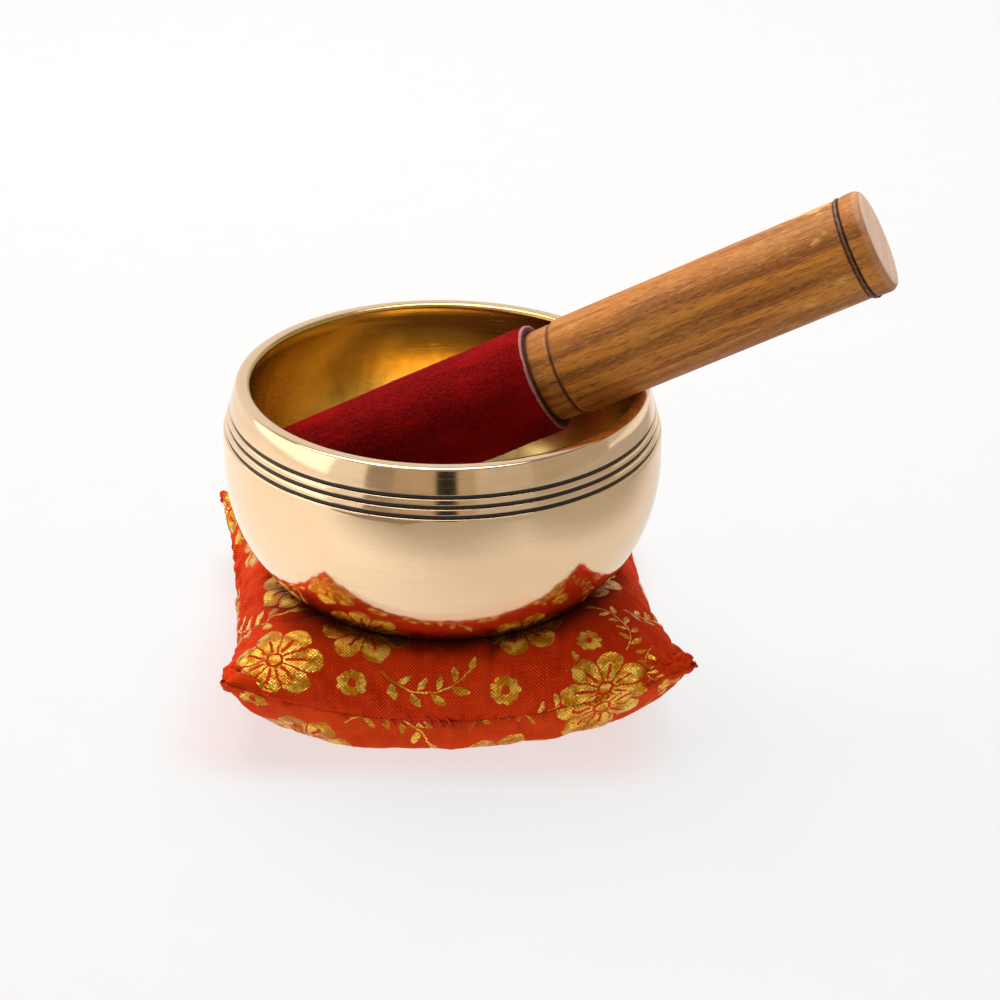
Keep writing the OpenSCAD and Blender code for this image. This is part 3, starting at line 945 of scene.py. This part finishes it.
def grid_normals(grid, up):
    """Unit normals of a grid of points; up is 1 for the top panel and -1 for the bottom one."""
    along = np.gradient(grid, axis=0)
    back = np.gradient(grid, axis=1)
    normal = np.cross(along, back) * up
    return normal / np.maximum(np.linalg.norm(normal, axis=-1, keepdims=True), 1e-9)


def smooth_noise(x, y, seed):
    flat = [noise.noise(Vector((float(a), float(b), seed))) for a, b in zip(x.ravel(), y.ravel())]
    return np.array(flat).reshape(x.shape)


def detail_panel(grid, up, seed):
    """Adds seam valley, puckers and soft dents to one panel, then keeps it off the bowl and floor."""
    size = len(grid) - 1
    flat = np.linspace(-PANEL_SIDE / 2, PANEL_SIDE / 2, size + 1)
    x, y = np.meshgrid(flat, flat, indexing="ij")
    normal = grid_normals(grid, up)
    raised = np.zeros(x.shape)
    for off, along, side in ((PANEL_SIDE / 2 - x, y, 1), (PANEL_SIDE / 2 + x, y, 2),
                             (PANEL_SIDE / 2 - y, x, 3), (PANEL_SIDE / 2 + y, x, 4)):
        fade = np.exp(-off / 5.0) * (1 - np.exp(-off / 0.9))
        folds = smooth_noise(along * 0.23, off * 0.03, seed + side)
        small = smooth_noise(along * 0.62, off * 0.06, seed + side + 9)
        raised += fade * (1.5 * folds + 0.7 * small)
    edge = np.minimum(PANEL_SIDE / 2 - np.abs(x), PANEL_SIDE / 2 - np.abs(y))
    raised += 0.55 * (1 - np.exp(-edge / 1.0))
    raised += 0.45 * smooth_noise(x * 0.06, y * 0.06, seed + 30)
    raised += 0.22 * smooth_noise(x * 0.17, y * 0.17, seed + 40)
    if up > 0:
        raised -= creased(x, y)
    made = grid + normal * raised[..., None]
    limit = underside(np.hypot(made[..., 0], made[..., 1])) - BOWL_GAP
    made[..., 2] = np.clip(np.minimum(made[..., 2], limit), 0.02, None)
    return made


# Print motifs: kind, place on the panel in millimetres, turn in degrees and size.
TOP_MOTIFS = [
    (FLOWER, -44, -49, 24, 1.15), (FLOWER, -38, -16, 20, 1.05), (FLOWER, -21, -39, 0, 1.0),
    (FLOWER, 15, -38, 26, 1.0), (FLOWER, 34, -61, 0, 1.0), (FLOWER, 35, -18, 5, 0.95),
    (FLOWER, -18, -8, 40, 1.1), (FLOWER, 12, 10, 0, 1.1), (FLOWER, -47, 15, 12, 1.0),
    (FLOWER, 43, 12, 30, 1.0), (FLOWER, -33, 43, 5, 1.1), (FLOWER, -5, 45, 25, 1.0),
    (FLOWER, 22, 47, 50, 1.1), (FLOWER, 50, 40, 15, 1.0), (FLOWER, -59, 46, 30, 1.0),
    (DAISY, -25, -55, 0, 0.95), (DAISY, 10, -57, 0, 0.95), (DAISY, 31, -46, 0, 0.85),
    (DAISY, -57, 30, 0, 1.0), (DAISY, -21, 25, 0, 1.0), (DAISY, 0, -21, 0, 1.0),
    (DAISY, 28, 27, 0, 1.0), (DAISY, 57, -8, 0, 1.0), (DAISY, -17, 59, 0, 1.0),
    (DAISY, 39, 58, 0, 1.0), (DAISY, -59, -28, 0, 0.9),
    (SPRIG, -18, -52, 2, 0.87), (SPRIG, 40, -50, 108, 0.73), (SPRIG, 42, -33, 31, 0.78),
    (SPRIG, 48, -48, -84, 0.75), (SPRIG, 14, -65, 45, 0.8), (SPRIG, -61, -11, -41, 1.2),
    (SPRIG, -42, 28, 62, 0.9), (SPRIG, -8, 18, 60, 0.9), (SPRIG, 25, -8, 40, 0.9),
    (SPRIG, 20, 58, 8, 0.9), (SPRIG, -52, 62, -20, 0.9), (SPRIG, 60, 12, 95, 1.0),
    (SPRIG, 30, 27, 60, 0.8), (SPRIG, -33, 0, 80, 0.9),
]
BOTTOM_MOTIFS = [
    (FLOWER, -35, -47, 10, 1.0), (FLOWER, 33, -59, 15, 1.0), (FLOWER, 10, -47, 0, 1.0),
    (FLOWER, -14, -43, 20, 0.95), (FLOWER, 44, -36, 0, 1.1), (FLOWER, -55, -30, 40, 1.1),
    (FLOWER, -55, 6, 10, 1.1), (FLOWER, 52, 0, 20, 1.1), (FLOWER, -50, 44, 0, 1.1),
    (FLOWER, 52, 36, 30, 1.1), (FLOWER, -22, 52, 15, 1.1), (FLOWER, 14, 52, 40, 1.1),
    (FLOWER, -20, 10, 0, 1.1), (FLOWER, 18, 14, 25, 1.1),
    (DAISY, -48, -59, 0, 1.0), (DAISY, 50, -56, 0, 1.0), (DAISY, -60, -12, 0, 1.0),
    (DAISY, 60, 20, 0, 1.0), (DAISY, 34, 58, 0, 1.0), (DAISY, -4, 58, 0, 1.0),
    (DAISY, -57, 26, 0, 1.0),
    (SPRIG, -27, -60, 13, 0.88), (SPRIG, 44, -50, 40, 0.8), (SPRIG, -40, 22, 70, 0.9),
    (SPRIG, 2, -60, -5, 0.6), (SPRIG, 58, -30, 100, 0.9), (SPRIG, -44, 60, -10, 0.9),
    (SPRIG, 36, 12, 70, 0.9), (SPRIG, -6, 30, 80, 0.9),
]


# Creases pressed into the top panel: both ends in panel millimetres, depth and half-width.
CREASES = [
    (6, -36, 8, -60, 0.7, 1.0), (23, -40, 24, -58, 0.5, 0.9), (-62, -10, -38, -29, 0.8, 1.3),
    (-60, 0, -46, -6, 0.7, 1.2), (-60, -60, -44, -42, 0.6, 1.6), (60, -60, 44, -42, 0.7, 1.6),
    (58, -30, 44, -26, 0.5, 1.2), (-30, -30, -44, -36, 0.4, 1.2), (-8, -60, -10, -46, 0.4, 1.0),
    (60, 60, 42, 40, 0.7, 1.6), (-60, 60, -42, 42, 0.7, 1.6), (-12, 60, -10, 44, 0.5, 1.0),
    (20, 60, 22, 42, 0.5, 1.1), (60, 6, 44, 2, 0.6, 1.2), (-60, 26, -44, 22, 0.6, 1.2),
]


def creased(x, y):
    """Depth of the creases at panel places x, y."""
    depth = np.zeros(x.shape)
    for x0, y0, x1, y1, deep, half in CREASES:
        reach = math.hypot(x1 - x0, y1 - y0)
        ahead = ((x1 - x0) / reach, (y1 - y0) / reach)
        along = ((x - x0) * ahead[0] + (y - y0) * ahead[1]) / reach
        off = (x - x0) * ahead[1] - (y - y0) * ahead[0] + 1.2 * np.sin(along * 5.0)
        fade = np.clip(1.2 - np.abs(2 * along - 1) ** 3 * 1.2, 0, 1)
        valley = np.exp(-(off / half) ** 2)
        swell = np.exp(-((np.abs(off) - 2.4 * half) / (1.6 * half)) ** 2)
        depth += deep * fade * (valley - 0.45 * swell)
    return depth


def cloth_lengths(grid, axis):
    """Distance along the cloth from the panel's middle, averaged over its middle half."""
    rows = np.moveaxis(grid, axis, 0)
    middle = rows[:, len(rows) // 4:-len(rows) // 4]
    step = np.linalg.norm(np.diff(middle, axis=0), axis=-1).mean(1)
    length = np.concatenate([[0], np.cumsum(step)])
    return length - length[-1] / 2


def motif_corners(flat_corners, motifs):
    """For each face corner, its place in the frame of the motif that covers its face, and the kind."""
    middle = flat_corners.mean(1)
    kept = np.zeros(flat_corners.shape[:2] + (3,), np.float32)
    for kind, x, y, turn, size in motifs:
        c, s = math.cos(math.radians(turn)) / size, math.sin(math.radians(turn)) / size
        into_motif = np.array([[c, -s], [s, c]])
        near = (middle[:, :2] - (x, y)) @ into_motif
        if kind == SPRIG:
            hit = (np.abs(near[:, 0] - 13.0) < 14.5) & (np.abs(near[:, 1] + 3.2) < 7.3)
        else:
            hit = np.hypot(near[:, 0], near[:, 1]) < (11.4 if kind == FLOWER else 4.2)
        hit &= kept[:, 0, 2] == 0
        kept[hit, :, :2] = (flat_corners[hit][..., :2] - (x, y)) @ into_motif
        kept[hit, :, 2] = kind
    return kept


def build_panel(name, node, grid, up, motifs, material):
    """One sewn panel: outer face, inner face and the cut edge that joins them."""
    side = len(grid)
    normal = grid_normals(grid, up)
    rim = np.zeros((side, side), bool)
    rim[[0, -1]] = rim[:, [0, -1]] = True
    outer = grid.copy()
    outer[rim, 2] += 0.06 * up
    inner = grid - normal * CLOTH
    centre = grid.mean((0, 1))
    inner[rim] = grid[rim] + (centre - grid[rim]) * 0.012
    inner[rim, 2] = grid[rim, 2] + 0.06 * up
    number = np.arange(side * side).reshape(side, side)
    faces = grid_faces(number, up < 0)
    outer_count = len(faces)
    faces += grid_faces(number + side * side, up > 0)
    faces += border_faces(number, number + side * side, up < 0)
    points = np.concatenate([outer.reshape(-1, 3), inner.reshape(-1, 3)])
    panel = mesh_piece(name, points, faces, material, 60)
    x, y = np.meshgrid(cloth_lengths(grid, 0), cloth_lengths(grid, 1), indexing="ij")
    flat_points = np.tile(np.stack([x, y, np.full_like(x, (up - 1) / 2)], -1).reshape(-1, 3), (2, 1))
    store(panel, "flat_mm", flat_points)
    corner_points = flat_points[np.array(faces[:outer_count])]
    corners = np.zeros((len(faces), 4, 3), np.float32)
    corners[:outer_count] = motif_corners(corner_points, motifs)
    store(panel, "motif_mm", corners, "CORNER")
    settle(panel, "cushion", "printed_cotton", node)
    return panel


def build_filling(top, bottom):
    """The stuffing, kept inside both panels."""
    every = 8
    upper = (top - grid_normals(top, 1) * 2.0)[every:-every:every, every:-every:every]
    lower = (bottom - grid_normals(bottom, -1) * 2.0)[every:-every:every, every:-every:every]
    side = len(upper)
    number = np.arange(side * side).reshape(side, side)
    faces = grid_faces(number) + grid_faces(number + side * side, True)
    faces += border_faces(number, number + side * side)
    points = np.concatenate([upper.reshape(-1, 3), lower.reshape(-1, 3)])
    filling = mesh_piece("cushion_stuffing", points, faces, filling_material(), 80)
    store_local(filling, points)
    settle(filling, "cushion", "fibre_filling", "cushion_filling")


def seam_line(grid):
    """Points of the seam, anticlockwise from the front-left tip."""
    return np.concatenate([grid[:-1, 0], grid[-1, :-1], grid[:0:-1, -1], grid[0, :0:-1]])


def stitch(top_at, seam_at, bottom_at, radius):
    """One short thread arc over the seam, with its ends sunk in the cloth."""
    middle = seam_at + (top_at + bottom_at - 2 * seam_at) * 0.35
    t = np.linspace(0, 1, 9)[:, None]
    path = (1 - t) ** 2 * top_at + 2 * t * (1 - t) * middle + t ** 2 * bottom_at
    return tube(path, radius, 6, twist=0.9, strands=2)


def build_threads(top, bottom):
    """Fine machine stitches all along the seam, and coarse hand stitches over the closed gap."""
    ring = len(top) - 1
    inner_top, inner_bottom = top[2:-2, 2:-2], bottom[2:-2, 2:-2]
    seam, above, below = seam_line(top), seam_line(inner_top), seam_line(inner_bottom)
    count = len(seam)
    small = []
    for k in range(4, count - 4, 5):
        side = int(k // ring)
        place = min(max(k - side * ring - 2, 0), len(inner_top) - 2)
        at = side * (len(inner_top) - 1) + place
        small.append(stitch(above[at], seam[k], below[at], 0.10))
    points, faces = gather(small)
    edge = mesh_piece("cushion_seam_thread", points, faces, thread_material(), 60)
    store_local(edge, points)
    settle(edge, "cushion", "sewing_thread", "cushion_edge_thread")
    large = []
    first, last = int(ring * 0.35), int(ring * 0.48)
    for k in range(first, last, 3):
        large.append(stitch(above[k - 2], seam[k], below[k + 1], 0.30))
    points, faces = gather(large)
    closing = mesh_piece("cushion_hand_stitches", points, faces, thread_material(), 60)
    store_local(closing, points)
    settle(closing, "cushion", "sewing_thread", "cushion_closing_stitches")


def build_cushion():
    top, bottom = cushion_start(SIM_CELLS)
    top, bottom = simulate_cushion(top, bottom)
    top, bottom = (detail_panel(finer(grid, FINE), up, seed)
                   for grid, up, seed in ((top, 1, 3.0), (bottom, -1, 61.0)))
    cotton = printed_cotton()
    build_panel("cushion_top", "cushion_top_panel", top, 1, TOP_MOTIFS, cotton)
    build_panel("cushion_bottom", "cushion_bottom_panel", bottom, -1, BOTTOM_MOTIFS, cotton)
    build_filling(top, bottom)
    build_threads(top, bottom)


# ---------------------------------------------------------------- floor, light and camera


def floor_material():
    """Pale paper, lit from below too, with a painted shadow and a painted red cast from the cushion
    close to it.
    """
    g = Graph("studio_floor")
    place = g.add("ShaderNodeTexCoord").outputs["Object"]
    grain = g.noise(place, 60.0, 2.0)
    tone = g.mix(grain, rgb(0.09, 0.089, 0.088), rgb(0.10, 0.099, 0.098))
    x, y, _ = g.split(place)
    # Painted shadow and painted red bounce light: the glow is darker and pinker close to the cushion,
    # reaching a little further on its left and front.
    out_x, out_y = (g.calc("MAXIMUM", g.total(g.calc("ABSOLUTE", v), -0.045), 0.0)
                    for v in (g.total(x, 0.005), g.total(y, 0.003)))
    away = g.length(out_x, out_y)
    glow = g.mix(g.soft(away, 0.004, 0.021), rgb(0.78, 0.67, 0.655), rgb(0.775, 0.768, 0.766))
    return g.surface(Base_Color=tone, Roughness=0.7, Specular_IOR_Level=0.1,
                     Emission_Color=glow, Emission_Strength=1.0)


def card(name, place, aim, width, height, strength):
    """A rectangular lamp at place, turned towards aim."""
    light = bpy.data.lights.new(name, "AREA")
    light.shape, light.size, light.size_y = "RECTANGLE", width, height
    light.energy = strength
    lamp = bpy.data.objects.new(name, light)
    lamp.location = place
    lamp.rotation_euler = (Vector(aim) - Vector(place)).to_track_quat("-Z", "Y").to_euler()
    bpy.context.scene.collection.objects.link(lamp)
    return lamp


def paper_to_table(g, place, table):
    """The white paper round the cushion, with painted light making it brighter on its left, which gives
    way to the bare table.
    """
    x, y, _ = g.split(place)
    paper = g.mix(g.soft(x, -0.10, 0.04), rgb(1.09, 1.09, 1.07), rgb(0.80, 0.79, 0.78))
    paper = g.mix(g.soft(y, 0.06, 0.20), paper, rgb(0.95, 0.94, 0.93))
    towards_camera = g.times(g.soft(y, -0.105, -0.210), g.soft(x, -0.19, -0.13))
    to_the_right = g.soft(g.total(x, g.times(y, -0.2)), 0.105, 0.185)
    return g.mix(g.calc("MAXIMUM", towards_camera, to_the_right), paper, table)


def backdrop(name, footprint, low, high, colour, fades=False):
    """A plain glowing block of the room round the camera, not seen by the camera itself.

    The brass mirrors every block. Only the high ones also light the matt surfaces, since a low
    one would shade the floor right under it.
    """
    g = Graph(name)
    place = g.add("ShaderNodeTexCoord").outputs["Object"]
    uneven = g.noise(place, 4.0, 2.0)
    tone = g.mix(uneven, rgb(*(0.8 * c for c in colour)), rgb(*(1.2 * c for c in colour)))
    if fades:
        tone = paper_to_table(g, place, tone)
    count = len(footprint)
    corners = [(x, y, z) for z in (low, high) for x, y in footprint]
    faces = [list(range(count))[::-1], [count + i for i in range(count)]]
    for i in range(count):
        k = (i + 1) % count
        faces.append([i, k, count + k, count + i])
    glow = g.surface(Base_Color=rgb(0, 0, 0), Roughness=1.0, Specular_IOR_Level=0.0,
                     Emission_Color=tone, Emission_Strength=1.0)
    block = mesh_piece(name, np.array(corners) / MM, faces, glow)
    block.visible_camera = False
    block.visible_shadow = False
    block.visible_diffuse = high > 0.1


def rectangle(x0, x1, y0, y1):
    return [(x0, y0), (x1, y0), (x1, y1), (x0, y1)]


def build_studio():
    scene = bpy.context.scene
    scene.view_settings.view_transform = "Standard"
    corners = np.array([(-1, -1, 0), (1, -1, 0), (1, 1, 0), (-1, 1, 0)]) * FLOOR_HALF
    floor = mesh_piece("studio_floor", corners, [[0, 1, 2, 3]], floor_material())
    world = bpy.data.worlds.new("studio")
    scene.world = world
    g = Graph("studio", world)
    x, _, z = g.split(g.add("ShaderNodeTexCoord").outputs["Generated"])
    walls = g.mix(g.soft(x, -0.5, 0.9), rgb(0.92, 0.905, 0.89), rgb(0.56, 0.55, 0.54))
    g.surface(Color=g.mix(g.soft(z, 0.45, 0.80), walls, rgb(0.26, 0.25, 0.245)), Strength=1.0)
    backdrop("camera_side_door", rectangle(-0.76, -0.42, -1.01, -1.00), 0.0, 0.80, (0.33, 0.29, 0.23))
    backdrop("camera_side_wall", rectangle(-0.42, 0.32, -1.01, -1.00), 0.0, 0.80, (0.47, 0.39, 0.29))
    backdrop("far_side_wall", rectangle(0.32, 1.10, -1.01, -1.00), 0.0, 0.80, (0.56, 0.53, 0.47))
    table = [(-0.70, -1.0), (1.10, -1.0), (1.10, 0.24), (0.045, 0.24), (0.045, -0.06),
             (-0.045, -0.06), (-0.045, 0.24), (-0.70, 0.24)]
    backdrop("camera_side_table", table, 0.001, 0.002, (0.47, 0.46, 0.42), True)
    backdrop("right_side_wall", rectangle(1.10, 1.11, -1.00, 0.10), 0.0, 0.60, (0.45, 0.41, 0.34))
    backdrop("camera_side_case", rectangle(-0.24, -0.055, -0.62, -0.205), 0.003, 0.04,
             (0.30, 0.26, 0.20))
    backdrop("camera_stand", rectangle(-0.02, 0.11, -0.75, -0.72), 0.003, 0.36, (0.02, 0.018, 0.016))
    card("left_window", (-1.30, -0.10, 0.45), (0, 0, 0.05), 1.5, 0.9, 3.2)
    # The key lights the matt surfaces, and the glint gives the foil and the brass their highlights.
    key = card("key", (-0.12, 0.50, 1.00), (0, 0, 0.03), 0.9, 0.9, 22.0)
    key.visible_glossy = False
    glint = card("glint", (-0.15, 0.20, 1.00), (0, 0, 0.03), 0.8, 0.8, 9.0)
    glint.visible_diffuse = False


def build_camera():
    scene = bpy.context.scene
    data = bpy.data.cameras.new("camera")
    data.sensor_width, data.lens = 36.0, CAMERA_LENS
    camera = bpy.data.objects.new("camera", data)
    camera.matrix_world = (Matrix.Translation(Vector(CAMERA_PLACE) * MM)
                           @ Matrix.Rotation(math.radians(CAMERA_TILT), 4, "X")
                           @ Matrix.Rotation(math.radians(CAMERA_ROLL), 4, "Z"))
    scene.collection.objects.link(camera)
    scene.camera = camera


build_bowl()
build_striker()
build_cushion()
build_studio()
build_camera()
